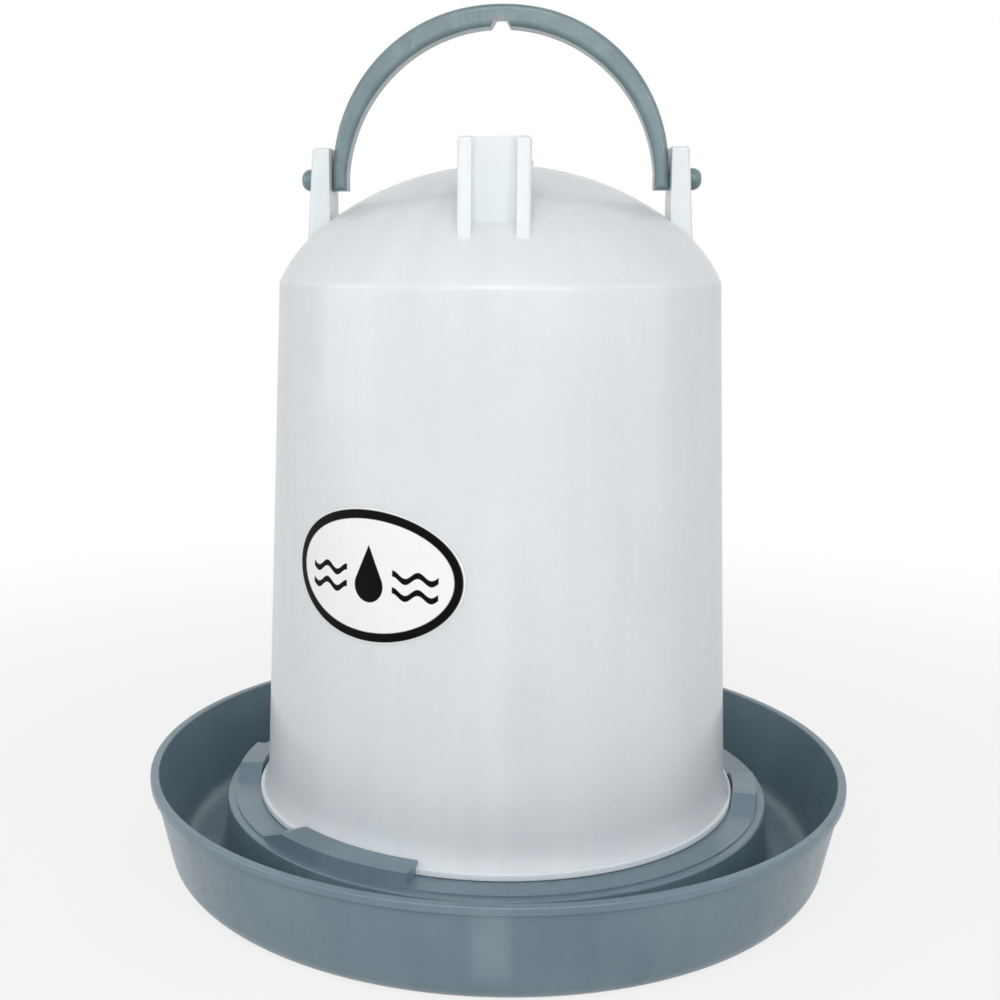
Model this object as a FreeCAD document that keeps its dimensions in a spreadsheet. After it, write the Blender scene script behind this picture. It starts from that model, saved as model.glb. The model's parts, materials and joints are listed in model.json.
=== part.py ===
"""Siphon drinker for poultry: tray, fount with four lugs, carrying handle and oval label.

The origin is the middle of the tray's underside, +Z runs up the fount's axis and -Y is the front.
Millimetres. An azimuth is counted from the front, towards +X.
"""
import FreeCAD
import Part
import Sketcher
import math
import os

# ---------------------------------------------------------------- driving dimensions
SIZES = [
    # tray
    ("rim_height", 40.6),               # top of the lip above the floor
    ("lip_width", 3.4),                 # lip, across the top
    ("lip_height", 3.0),                # lip, down to its step
    ("lip_step", 1.5),                  # how far the lip stands out of the wall
    ("wall_lean", 7.9),                 # how far the wall leans out, from the floor to the lip
    ("tray_wall", 2.4),
    ("trough_width", 21.2),             # from the inner ring's foot to the outside of the wall's foot
    ("ring_draft", 0.8),                # how much wider the ring is at its foot
    ("seat_width", 10.4),               # seat that lies under the fount's flange
    ("seat_height", 27.7),              # top of the inner ring
    ("ledge_width", 3.4),               # outer edge of the ring's top, a step lower
    ("ledge_drop", 0.6),
    ("sump_height", 12.4),              # middle of the tray, inside the fount
    ("tray_corner", 10.0),              # rounding of the tray's lower corner
    ("trough_corner", 4.0),             # rounding of the trough at the inner ring's foot
    # claws and stop blocks of the tray
    ("claw_width", 10.1),               # across the ring
    ("claw_lip", 1.9),                  # thickness of the part that hooks over the flange
    ("hook_play", 0.5),                 # between the hook and the flange's top
    ("hook_gap", 0.55),                 # between the hook's edge and the fount's wall
    ("claw_draft", 0.6),                # how much narrower claws and blocks are at their top
    ("claw_middle", -34.2),             # azimuth of the long claw's middle
    ("claw_span", 38.6),
    ("claw_ramp", 13.0),                # length of a sloping end
    ("block_middle", 84.8),             # azimuth of the short block's middle
    ("block_span", 24.0),
    ("block_ramp", 9.5),
    # water outlet through the ring
    ("outlet_width", 16.0),
    ("outlet_depth", 8.0),
    # fount
    ("seat_gap", 0.2),                  # running gap between flange and seat
    ("flange_ledge", 1.3),              # how far the flange stands out of the flare
    ("flange_height", 2.7),
    ("flange_play", 0.5),               # around the flange, inside the claws
    ("flare_radius", 27.3),             # hollow rounding above the flange
    ("flare_height", 11.3),
    ("wall_radius", 96.25),              # outside, at the top of the flare
    ("shoulder_radius", 88.2),          # outside, where the wall meets the dome
    ("wall_height", 198.3),             # from the top of the flare to that circle
    ("shoulder_corner", 4.0),
    ("fount_wall", 2.2),
    ("dome_radius", 115.5),             # crown of the dome
    ("haunch_width", 16.2),             # outer ring of the dome, which curves more than the crown
    ("haunch_radius", 58.0),
    # lugs
    ("lug_count", 4),
    ("lug_inner_radius", 66.8),
    ("lug_width", 26.0),
    ("lug_above_pin", 12.0),            # top of a lug above the pins
    ("lug_top_depth", 6.7),             # front to back at the top
    ("lug_foot_depth", 9.0),            # front to back at the foot
    ("lug_web", 2.8),
    ("lug_rib", 5.0),
    ("lug_corner", 1.6),
    # handle
    ("pin_rise", 16.844),               # pins above the place where the lugs leave the dome
    ("pin_radius", 3.2),
    ("pin_play", 0.08),                 # radial, in the lug
    ("pin_head_radius", 4.3),
    ("pin_head_length", 9.1),
    ("pin_head_play", 0.8),             # between head and lug
    ("handle_play", 0.5),               # between the handle's legs and the lugs
    ("fold_play", 0.4),                 # between the folded handle's top and a lug
    ("leg_straight", 2.2),              # how far a leg rises straight above the pin
    ("arch_crown", 77.3),               # radius of the arch's crown, outside; its sides curve more
    ("handle_top_height", 8.4),         # thickness at the top of the arch
    ("handle_leg_thickness", 5.5),      # thickness at the pins
    ("handle_width", 14.0),             # front to back
    ("handle_edge", 2.2),               # rounding of the handle's long edges
    ("leg_end", 4.3),                   # how far a leg reaches below the pin
    ("notch_width", 7.6),               # hanging notch, at its mouth
    ("notch_top_width", 3.6),
    ("notch_depth", 3.5),
    # label
    ("label_width", 73.6),
    ("label_height", 49.6),
    ("label_rise", 108.4),              # its middle, above the fount's foot
    ("label_azimuth", -28.5),
    ("label_thickness", 0.25),
]

COLUMN_LETTERS = "AB"


class Term:
    """A size that knows both its value and the expression that gives it."""

    def __init__(self, value, text):
        self.value = value
        self.text = text

    @staticmethod
    def of(other):
        if isinstance(other, Term):
            return other
        return Term(float(other), repr(float(other)))

    def joined(self, other, sign, value):
        return Term(value, "(%s %s %s)" % (self.text, sign, Term.of(other).text))

    def __add__(self, other):
        return self.joined(other, "+", self.value + Term.of(other).value)

    def __sub__(self, other):
        return self.joined(other, "-", self.value - Term.of(other).value)

    def __mul__(self, other):
        return self.joined(other, "*", self.value * Term.of(other).value)

    def __truediv__(self, other):
        return self.joined(other, "/", self.value / Term.of(other).value)

    def __neg__(self):
        return Term(-self.value, "(0 - %s)" % self.text)


def root(term):
    return Term(math.sqrt(term.value), "sqrt(%s)" % term.text)


def sine(term):
    return Term(math.sin(math.radians(term.value)), "sin(%s)" % term.text)


def cosine(term):
    return Term(math.cos(math.radians(term.value)), "cos(%s)" % term.text)


def arctangent(term):
    """Angle in degrees whose tangent is the term."""
    return Term(math.degrees(math.atan(term.value)), "(atan(%s) / 1 deg)" % term.text)


ZERO = Term(0.0, "0")
FULL_TURN = Term(360.0, "360")
QUARTER_TURN = FULL_TURN / 4

doc = FreeCAD.newDocument("poultry_waterer")
sheet = doc.addObject("Spreadsheet::Sheet", "Sizes")
SIZE = {}
for row, (alias, value) in enumerate(SIZES, start=1):
    sheet.set("%s%d" % (COLUMN_LETTERS[0], row), alias)
    sheet.set("%s%d" % (COLUMN_LETTERS[1], row), str(value))
    sheet.setAlias("%s%d" % (COLUMN_LETTERS[1], row), alias)
    SIZE[alias] = Term(float(value), "Sizes.%s" % alias)
doc.recompute()


# ---------------------------------------------------------------- building blocks
def origin_feature(body, role):
    """One of the body's own planes or axes."""
    for feature in body.Origin.OriginFeatures:
        if feature.Role == role:
            return feature
    raise ValueError("no %s in %s" % (role, body.Label))


def new_body(label):
    body = doc.addObject("PartDesign::Body", label)
    body.Label = label
    return body


def new_sketch(body, name, role, turn=ZERO, out=ZERO):
    """A sketch on a plane of the body, turned about the plane's own vertical and moved out along its normal."""
    sketch = body.newObject("Sketcher::SketchObject", name)
    sketch.AttachmentSupport = [(origin_feature(body, role), "")]
    sketch.MapMode = "FlatFace"
    across = out * sine(turn)
    ahead = out * cosine(turn)
    sketch.AttachmentOffset = FreeCAD.Placement(
        FreeCAD.Vector(across.value, 0, ahead.value),
        FreeCAD.Rotation(FreeCAD.Vector(0, 1, 0), turn.value))
    sketch.setExpression("AttachmentOffset.Base.x", across.text)
    sketch.setExpression("AttachmentOffset.Base.z", ahead.text)
    if turn is not ZERO:
        sketch.setExpression("AttachmentOffset.Rotation.Angle", turn.text)
    return sketch


def fix_point(sketch, edge, end, across, height):
    """Bind one end of an edge to two expressions, or to an axis where the size is zero."""
    if across is ZERO:
        sketch.addConstraint(Sketcher.Constraint("PointOnObject", edge, end, -2))
    else:
        index = sketch.addConstraint(Sketcher.Constraint("DistanceX", edge, end, across.value))
        sketch.setExpression("Constraints[%d]" % index, across.text)
    if height is ZERO:
        sketch.addConstraint(Sketcher.Constraint("PointOnObject", edge, end, -1))
    else:
        index = sketch.addConstraint(Sketcher.Constraint("DistanceY", edge, end, height.value))
        sketch.setExpression("Constraints[%d]" % index, height.text)


def bind_radius(sketch, edge, radius):
    index = sketch.addConstraint(Sketcher.Constraint("Radius", edge, radius.value))
    sketch.setExpression("Constraints[%d]" % index, radius.text)


def arc_between(start, end, radius, hollow):
    """Arc from start to end; its centre lies left of that way, or right of it where it is hollow."""
    middle = (start + end) * 0.5
    chord = end - start
    reach = math.sqrt(radius * radius - chord.Length * chord.Length / 4)
    side = FreeCAD.Vector(-chord.y, chord.x, 0).normalize()
    centre = middle + side * (-reach if hollow else reach)
    angles = [math.atan2(point.y - centre.y, point.x - centre.x) for point in (start, end)]
    circle = Part.Circle(centre, FreeCAD.Vector(0, 0, 1), radius)
    if hollow:
        return Part.ArcOfCircle(circle, angles[1], angles[0])
    return Part.ArcOfCircle(circle, angles[0], angles[1])


def draw_outline(sketch, corners, arcs=None):
    """Closed outline through corners, each a pair of terms.

    arcs gives, for the run that starts at a corner, its radius and whether it is hollow. Every other run is
    straight. The arc's ends are its corners, so its radius is all that is left to bind.
    """
    arcs = arcs or {}
    points = [FreeCAD.Vector(across.value, height.value, 0) for across, height in corners]
    ends = []
    for index, start in enumerate(points):
        end = points[(index + 1) % len(points)]
        if index in arcs:
            radius, hollow = arcs[index]
            sketch.addGeometry(arc_between(start, end, radius.value, hollow), False)
            ends.append((2, 1) if hollow else (1, 2))
            bind_radius(sketch, index, radius)
        else:
            sketch.addGeometry(Part.LineSegment(start, end), False)
            ends.append((1, 2))
    for index, (across, height) in enumerate(corners):
        previous = index - 1 if index else len(corners) - 1
        sketch.addConstraint(Sketcher.Constraint("Coincident", previous, ends[previous][1], index, ends[index][0]))
        fix_point(sketch, index, ends[index][0], across, height)


def draw_circle(sketch, across, height, radius):
    """A circle whose centre and radius are terms."""
    centre = FreeCAD.Vector(across.value, height.value, 0)
    sketch.addGeometry(Part.Circle(centre, FreeCAD.Vector(0, 0, 1), radius.value), False)
    fix_point(sketch, 0, 3, across, height)
    bind_radius(sketch, 0, radius)


def turned(body, name, sketch, cut=False, angle=FULL_TURN):
    """Turn a sketch about the body's Z axis; a part turn is centred on the sketch."""
    feature = body.newObject("PartDesign::Groove" if cut else "PartDesign::Revolution", name)
    feature.Profile = sketch
    feature.ReferenceAxis = (sketch, ["V_Axis"])
    if angle is not FULL_TURN:
        feature.Midplane = True
    feature.Angle = angle.value
    feature.setExpression("Angle", angle.text)
    return feature


def extruded(body, name, sketch, length, cut=False, side="One side", reverse=False):
    """Pad a sketch, or cut with it."""
    feature = body.newObject("PartDesign::Pocket" if cut else "PartDesign::Pad", name)
    feature.Profile = sketch
    feature.Length = length.value
    feature.setExpression("Length", length.text)
    feature.SideType = side
    feature.Reversed = reverse
    return feature


def circle_edges(shape, rings):
    """Names of the full round edges about the Z axis at the given (radius, height) pairs."""
    names = []
    for index, edge in enumerate(shape.Edges, start=1):
        if edge.Degenerated or not isinstance(edge.Curve, Part.Circle):
            continue
        centre = edge.Curve.Center
        if abs(centre.x) > 1e-4 or abs(centre.y) > 1e-4:
            continue
        for radius, height in rings:
            if abs(edge.Curve.Radius - radius) < 0.02 and abs(centre.z - height) < 0.02:
                names.append("Edge%d" % index)
    return names


def rounded(body, name, base, edges, radius):
    """Round named edges of the body's last feature."""
    if not edges:
        raise ValueError("%s finds no edge" % name)
    feature = body.newObject("PartDesign::Fillet", name)
    feature.Base = (base, edges)
    feature.Radius = radius.value
    feature.setExpression("Radius", radius.text)
    doc.recompute()
    return feature


def changed_volume(feature, before):
    """Volume that a feature has added (above zero) or taken away."""
    doc.recompute()
    return feature.Shape.Volume - before


# ---------------------------------------------------------------- heights and radii that pieces share
def fount_foot():
    """Height of the flange's underside."""
    return SIZE["seat_height"] + SIZE["seat_gap"]


def flange_top():
    return fount_foot() + SIZE["flange_height"]


def flare_top():
    return flange_top() + SIZE["flare_height"]


def flare_radius_at(height):
    """Outside of the fount at a height within the flare, a hollow rounding centred level with its top."""
    below = flare_top() - height
    flare = SIZE["flare_radius"]
    return SIZE["wall_radius"] + flare - root(flare * flare - below * below)


def flange_radius():
    return flare_radius_at(flange_top()) + SIZE["flange_ledge"]


def riser_radius():
    """Inside of the claws and blocks, just outside the flange."""
    return flange_radius() + SIZE["flange_play"]


def claw_top():
    """Height of the claws and blocks: their hooks clear the flange."""
    return flange_top() + SIZE["hook_play"] + SIZE["claw_lip"]


def claw_radius():
    """Outside of the claws and blocks, where the ring's top steps down."""
    return riser_radius() + SIZE["claw_width"]


def ring_radius():
    """Outside of the inner ring, at its top."""
    return claw_radius() + SIZE["ledge_width"]


def ring_foot_radius():
    return ring_radius() + SIZE["ring_draft"]


def seat_radius():
    """Inner edge of the fount's seat."""
    return flange_radius() - SIZE["seat_width"]


def tray_foot_radius():
    return ring_foot_radius() + SIZE["trough_width"]


def lip_foot_radius():
    """Outside of the tray's wall, where it meets the lip."""
    return tray_foot_radius() + SIZE["wall_lean"]


def rim_radius():
    return lip_foot_radius() + SIZE["lip_step"]


# ---------------------------------------------------------------- tray
def wall_slope():
    """How far the tray's wall leans out for each millimetre that it rises."""
    return SIZE["wall_lean"] / (SIZE["rim_height"] - SIZE["lip_height"])


def make_tray():
    wall = SIZE["tray_wall"]
    rim = rim_radius()
    rim_inner = rim - SIZE["lip_width"]
    lip_foot = SIZE["rim_height"] - SIZE["lip_height"]
    trough_radius = rim_inner - wall_slope() * (SIZE["rim_height"] - wall)
    ring = ring_radius()
    ring_foot = ring_foot_radius()
    seat = seat_radius()
    ledge_height = SIZE["seat_height"] - SIZE["ledge_drop"]
    body = new_body("tray")
    sketch = new_sketch(body, "tray_section", "XZ_Plane")
    draw_outline(sketch, [
        (ZERO, SIZE["sump_height"] - wall),
        (seat + wall, SIZE["sump_height"] - wall),
        (seat + wall, ledge_height - wall),
        (ring - wall, ledge_height - wall),
        (ring_foot - wall, ZERO),
        (tray_foot_radius(), ZERO),
        (lip_foot_radius(), lip_foot),
        (rim, lip_foot),
        (rim, SIZE["rim_height"]),
        (rim_inner, SIZE["rim_height"]),
        (trough_radius, wall),
        (ring_foot, wall),
        (ring, ledge_height),
        (claw_radius(), ledge_height),
        (claw_radius(), SIZE["seat_height"]),
        (seat, SIZE["seat_height"]),
        (seat, SIZE["sump_height"]),
        (ZERO, SIZE["sump_height"]),
    ])
    bowl = turned(body, "bowl", sketch)
    doc.recompute()
    outer = circle_edges(bowl.Shape, [(tray_foot_radius().value, 0)])
    bowl = rounded(body, "foot_rounding", bowl, outer, SIZE["tray_corner"])
    inner = circle_edges(bowl.Shape, [(trough_radius.value, wall.value)])
    bowl = rounded(body, "trough_rounding", bowl, inner, SIZE["tray_corner"] - wall)
    inner = circle_edges(bowl.Shape, [(ring_foot.value, wall.value)])
    bowl = rounded(body, "ring_foot_rounding", bowl, inner, SIZE["trough_corner"])
    top = circle_edges(bowl.Shape, [
        (rim.value, SIZE["rim_height"].value),
        (rim_inner.value, SIZE["rim_height"].value),
        (ring.value, ledge_height.value),
        (seat.value, SIZE["seat_height"].value),
    ])
    bowl = rounded(body, "rim_rounding", bowl, top, SIZE["lip_width"] / 4.25)
    make_claws(body)
    make_blocks(body)
    make_outlet(body)
    return body


def add_ramp(body, name, azimuth, length, leftward, radius):
    """Slope one end of a claw or block, from its top down to the seat, over the given length."""
    rise = claw_top() - SIZE["seat_height"]
    base = SIZE["seat_height"]
    beyond = SIZE["tray_wall"]
    run = -length if leftward else length
    far = -(length + beyond) if leftward else length + beyond
    sketch = new_sketch(body, name + "_section", "XZ_Plane", azimuth, radius)
    corners = [(ZERO, base + rise), (run, base), (far, base), (far, base + rise + beyond), (ZERO, base + rise + beyond)]
    draw_outline(sketch, corners if leftward else corners[::-1])
    before = body.Shape.Volume
    ramp = extruded(body, name, sketch, ring_radius() + beyond - radius, cut=True, reverse=True)
    if changed_volume(ramp, before) > -1:
        raise ValueError("%s cuts nothing" % name)


def make_claws(body):
    """Two long claws, half a turn apart, that hook over the flange; each has one sloping end."""
    riser = riser_radius()
    top = claw_top()
    hook_foot = flare_radius_at(top - SIZE["claw_lip"]) + SIZE["hook_gap"]
    hook_top = flare_radius_at(top) + SIZE["hook_gap"]
    root_height = SIZE["seat_height"] - SIZE["tray_wall"] / 2
    outer = claw_radius()
    ramp_turn = arctangent(SIZE["claw_ramp"] / flange_radius())
    for index in range(2):
        middle = SIZE["claw_middle"] + 180.0 * index
        sketch = new_sketch(body, "claw_section_%d" % (index + 1), "XZ_Plane", middle - QUARTER_TURN)
        draw_outline(sketch, [
            (riser, root_height),
            (outer, root_height),
            (outer - SIZE["claw_draft"], top),
            (hook_top, top),
            (hook_foot, top - SIZE["claw_lip"]),
            (riser, top - SIZE["claw_lip"]),
        ])
        before = body.Shape.Volume
        claw = turned(body, "claw_%d" % (index + 1), sketch, angle=SIZE["claw_span"])
        if changed_volume(claw, before) < 1:
            raise ValueError("claw adds nothing")
        peak = middle - SIZE["claw_span"] / 2 + ramp_turn
        start = hook_top - SIZE["lip_width"]
        add_ramp(body, "claw_ramp_%d" % (index + 1), peak, SIZE["claw_ramp"], True, start)


def make_blocks(body):
    """Two short blocks, half a turn apart, that keep the flange in the middle; both ends slope."""
    riser = riser_radius()
    top = claw_top()
    root_height = SIZE["seat_height"] - SIZE["tray_wall"] / 2
    outer = claw_radius()
    ramp_turn = arctangent(SIZE["block_ramp"] / flange_radius())
    for index in range(2):
        middle = SIZE["block_middle"] + 180.0 * index
        sketch = new_sketch(body, "block_section_%d" % (index + 1), "XZ_Plane", middle - QUARTER_TURN)
        draw_outline(sketch, [
            (riser, root_height),
            (outer, root_height),
            (outer - SIZE["claw_draft"], top),
            (riser, top),
        ])
        before = body.Shape.Volume
        block = turned(body, "block_%d" % (index + 1), sketch, angle=SIZE["block_span"])
        if changed_volume(block, before) < 1:
            raise ValueError("block adds nothing")
        for leftward in (True, False):
            offset = SIZE["block_span"] / 2 - ramp_turn
            peak = middle - offset if leftward else middle + offset
            name = "block_ramp_%d%s" % (index + 1, "a" if leftward else "b")
            add_ramp(body, name, peak, SIZE["block_ramp"], leftward, riser - SIZE["lip_width"])


def make_outlet(body):
    """A trough-shaped passage across the ring at the back, from the fount's inside to the tray's trough."""
    wall = SIZE["tray_wall"]
    half = SIZE["outlet_width"] / 2
    base = SIZE["seat_height"] - SIZE["outlet_depth"]
    inner = seat_radius()
    length = ring_radius() - inner
    sketch = new_sketch(body, "outlet_box_section", "XZ_Plane", FULL_TURN / 2, inner)
    lid = SIZE["seat_height"] - SIZE["ledge_drop"] - wall / 2
    draw_outline(sketch, [(-(half + wall), base - wall), (half + wall, base - wall), (half + wall, lid),
                          (-(half + wall), lid)])
    before = body.Shape.Volume
    box = extruded(body, "outlet_box", sketch, length)
    if changed_volume(box, before) < 1:
        raise ValueError("outlet box adds nothing")
    sketch = new_sketch(body, "outlet_section", "XZ_Plane", FULL_TURN / 2, inner - wall)
    above = SIZE["seat_height"] + wall
    draw_outline(sketch, [(-half, base), (half, base), (half, above), (-half, above)])
    before = body.Shape.Volume
    slot = extruded(body, "outlet", sketch, length + wall * 2.5, cut=True, reverse=True)
    if changed_volume(slot, before) > -1:
        raise ValueError("outlet cuts nothing")


# ---------------------------------------------------------------- fount
def shoulder_height():
    """Height of the circle where wall and dome would meet."""
    return flare_top() + SIZE["wall_height"]


def crown_radius():
    """Radius at which the dome's crown passes into its haunch."""
    return SIZE["shoulder_radius"] - SIZE["haunch_width"]


def haunch_centre():
    """Centre of the haunch's arc, as radius and height: the arc ends where the wall meets the dome.

    The haunch leaves the crown smoothly, so its centre lies on the line from their common point to the crown's
    centre.
    """
    arc = SIZE["haunch_radius"]
    crown = crown_radius()
    radius = crown - crown * arc / SIZE["dome_radius"]
    across = SIZE["shoulder_radius"] - radius
    return radius, shoulder_height() - root(arc * arc - across * across)


def haunch_height(radius, inwards):
    """Height of a shell parallel to the haunch, so far inside its outer face, at a radius."""
    centre_radius, centre_height = haunch_centre()
    shell = SIZE["haunch_radius"] - inwards
    across = radius - centre_radius
    return centre_height + root(shell * shell - across * across)


def crown_centre():
    """Height of the crown's centre, below the haunch's on the line through both."""
    dome = SIZE["dome_radius"]
    crown = crown_radius()
    climb = root(dome * dome - crown * crown)
    return haunch_centre()[1] - climb * (dome - SIZE["haunch_radius"]) / dome


def crown_height(radius, inwards):
    """Height of a shell parallel to the crown, so far inside its outer face, at a radius."""
    shell = SIZE["dome_radius"] - inwards
    return crown_centre() + root(shell * shell - radius * radius)


def make_fount():
    wall = SIZE["fount_wall"]
    base = fount_foot()
    ledge = flange_top()
    flare_foot = flare_radius_at(ledge)
    crown = crown_radius()
    crown_inner = crown * (SIZE["dome_radius"] - wall) / SIZE["dome_radius"]
    haunch = SIZE["haunch_radius"]
    shoulder_inner = SIZE["shoulder_radius"] - wall
    shoulder_inner_height = haunch_height(shoulder_inner, wall)
    body = new_body("fount")
    sketch = new_sketch(body, "fount_section", "XZ_Plane")
    draw_outline(sketch, [
        (SIZE["wall_radius"] - wall, flare_top()),
        (flare_foot - wall, base),
        (flange_radius(), base),
        (flange_radius(), ledge),
        (flare_foot, ledge),
        (SIZE["wall_radius"], flare_top()),
        (SIZE["shoulder_radius"], shoulder_height()),
        (crown, crown_height(crown, ZERO)),
        (ZERO, crown_height(ZERO, ZERO)),
        (ZERO, crown_height(ZERO, wall)),
        (crown_inner, crown_height(crown_inner, wall)),
        (shoulder_inner, shoulder_inner_height),
    ], arcs={
        4: (SIZE["flare_radius"], True),
        6: (haunch, False),
        7: (SIZE["dome_radius"], False),
        9: (SIZE["dome_radius"] - wall, True),
        10: (haunch - wall, True),
    })
    shell = turned(body, "shell", sketch)
    doc.recompute()
    shoulder = circle_edges(shell.Shape, [(SIZE["shoulder_radius"].value, shoulder_height().value)])
    shell = rounded(body, "shoulder_rounding", shell, shoulder, SIZE["shoulder_corner"])
    inside = circle_edges(shell.Shape, [(shoulder_inner.value, shoulder_inner_height.value)])
    shell = rounded(body, "inner_shoulder_rounding", shell, inside, SIZE["shoulder_corner"] - wall)
    lip = circle_edges(shell.Shape, [
        (flange_radius().value, base.value),
        (flange_radius().value, ledge.value),
    ])
    rounded(body, "flange_rounding", shell, lip, SIZE["flange_height"] / 5.4)
    make_lugs(body)
    make_pin_holes(body)
    return body


def pin_height():
    """Height of the handle's pins, over the place where the lugs leave the dome."""
    return crown_height(SIZE["lug_inner_radius"], SIZE["fount_wall"] / 2) + SIZE["pin_rise"]


def make_lugs(body):
    """U-shaped lugs, open outwards: a web and two ribs that stand in the dome's wall."""
    wall = SIZE["fount_wall"]
    inner = SIZE["lug_inner_radius"]
    web = inner + SIZE["lug_web"]
    foot = inner + SIZE["lug_foot_depth"]
    head = inner + SIZE["lug_top_depth"]
    top = pin_height() + SIZE["lug_above_pin"]
    half = SIZE["lug_width"] / 2
    corner = SIZE["lug_corner"]
    before = body.Shape.Volume
    sketch = new_sketch(body, "lug_web_section", "YZ_Plane")
    draw_outline(sketch, [
        (-inner, crown_height(inner, wall / 2)),
        (-inner, top),
        (-web, top),
        (-web, crown_height(web, wall / 2)),
    ])
    pads = [extruded(body, "lug_web", sketch, SIZE["lug_width"], side="Symmetric")]
    for name, place in (("left", -half), ("right", half - SIZE["lug_rib"])):
        sketch = new_sketch(body, "lug_rib_section_" + name, "YZ_Plane", ZERO, place)
        draw_outline(sketch, [
            (-inner, crown_height(inner, wall / 2)),
            (-inner, top),
            (-(head - corner), top),
            (-head, top - corner),
            (-foot, haunch_height(foot, wall / 2)),
        ], arcs={
            2: (corner, False),
        })
        pads.append(extruded(body, "lug_rib_" + name, sketch, SIZE["lug_rib"]))
    doc.recompute()
    pattern = body.newObject("PartDesign::PolarPattern", "lugs")
    pattern.Originals = pads
    pattern.Axis = (origin_feature(body, "Z_Axis"), [""])
    pattern.Angle = FULL_TURN.value
    pattern.Occurrences = int(SIZE["lug_count"].value)
    pattern.setExpression("Occurrences", SIZE["lug_count"].text)
    body.Tip = pattern
    if changed_volume(pattern, before) < 1:
        raise ValueError("lugs add nothing")
    rounded(body, "lug_rounding", pattern, lug_corners(pattern.Shape), SIZE["lug_corner"])


def lug_corners(shape):
    """The lugs' upper side corners and their upper outer edges' ends: straight level edges at the very top."""
    names = []
    top = (pin_height() + SIZE["lug_above_pin"]).value
    half = SIZE["lug_width"].value / 2
    for index, edge in enumerate(shape.Edges, start=1):
        ends = [vertex.Point for vertex in edge.Vertexes]
        if len(ends) != 2 or max(abs(end.z - top) for end in ends) > 1e-4:
            continue
        along_x = abs(ends[0].x - ends[1].x) < 1e-4 and abs(abs(ends[0].x) - half) < 1e-4
        along_y = abs(ends[0].y - ends[1].y) < 1e-4 and abs(abs(ends[0].y) - half) < 1e-4
        if along_x or along_y:
            names.append("Edge%d" % index)
    return names


def make_pin_holes(body):
    """Round holes through the webs of the left and right lugs."""
    start = SIZE["lug_inner_radius"] - SIZE["lug_web"]
    for name, place, reverse in (("right", start, True), ("left", -start, False)):
        sketch = new_sketch(body, "pin_hole_section_" + name, "YZ_Plane", ZERO, place)
        draw_circle(sketch, ZERO, pin_height(), SIZE["pin_radius"] + SIZE["pin_play"])
        before = body.Shape.Volume
        hole = extruded(body, "pin_hole_" + name, sketch, SIZE["lug_web"] * 3, cut=True, reverse=reverse)
        if changed_volume(hole, before) > -1:
            raise ValueError("pin hole cuts nothing")


# ---------------------------------------------------------------- handle
def leg_outside():
    """Outer face of the legs, from the middle: they swing between the lugs."""
    return SIZE["lug_inner_radius"] - SIZE["handle_play"]


def leg_inside():
    """Inner face of the legs, from the middle."""
    return leg_outside() - SIZE["handle_leg_thickness"]


def arch_top():
    """Top of the arch, above the pins: it folds down inside the front and back lugs."""
    return SIZE["lug_inner_radius"] - SIZE["fold_play"]


def arch_underside():
    """Underside of the arch at its top, above the pins."""
    return arch_top() - SIZE["handle_top_height"]


def head_start():
    """Inner face of a pin's head, from the middle."""
    return SIZE["lug_inner_radius"] + SIZE["lug_web"] + SIZE["pin_head_play"]


def side_arc():
    """Radius of the arch's sides, outside, and the place where they pass smoothly into its crown.

    The crown is centred on the axis and the sides' centres lie level with the tops of the straight legs. The two
    centres are as far apart as the radii differ, and the common point lies on the line through both.
    """
    outer = leg_outside()
    crown = SIZE["arch_crown"]
    rise = arch_top() - SIZE["leg_straight"]
    side = (crown * rise * 2 - rise * rise - outer * outer) / ((crown - outer) * 2)
    share = crown / (crown - side)
    centre = arch_top() - crown
    return side, (outer - side) * share, centre + (SIZE["leg_straight"] - centre) * share


def make_handle():
    """An arched bar, thicker at the top, with two headed pins that point outwards.

    It is drawn about the pins' axis and then placed in the lugs.
    """
    outer = leg_outside()
    leg = leg_inside()
    spring = SIZE["leg_straight"]
    top = arch_underside() - spring
    inner_arc = (leg * leg + top * top) / (top * 2)
    side, meet_across, meet_height = side_arc()
    bottom = -SIZE["leg_end"]
    body = new_body("handle")
    sketch = new_sketch(body, "arch_section", "XZ_Plane")
    draw_outline(sketch, [
        (outer, bottom),
        (outer, spring),
        (meet_across, meet_height),
        (-meet_across, meet_height),
        (-outer, spring),
        (-outer, bottom),
        (-leg, bottom),
        (-leg, spring),
        (leg, spring),
        (leg, bottom),
    ], arcs={
        1: (side, False),
        2: (SIZE["arch_crown"], False),
        3: (side, False),
        7: (inner_arc, True),
    })
    arch = extruded(body, "arch", sketch, SIZE["handle_width"], side="Symmetric")
    doc.recompute()
    arch = rounded(body, "arch_rounding", arch, long_edges(arch.Shape), SIZE["handle_edge"])
    make_notch(body)
    make_pins(body)
    body.Placement.Base = FreeCAD.Vector(0, 0, pin_height().value)
    body.setExpression("Placement.Base.z", pin_height().text)
    return body


def long_edges(shape):
    """Edges of the arch's front and back faces."""
    half = SIZE["handle_width"].value / 2
    names = []
    for index, edge in enumerate(shape.Edges, start=1):
        if all(abs(abs(vertex.Point.y) - half) < 1e-4 for vertex in edge.Vertexes):
            if abs(edge.Vertexes[0].Point.y - edge.Vertexes[-1].Point.y) < 1e-4:
                names.append("Edge%d" % index)
    return names


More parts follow.
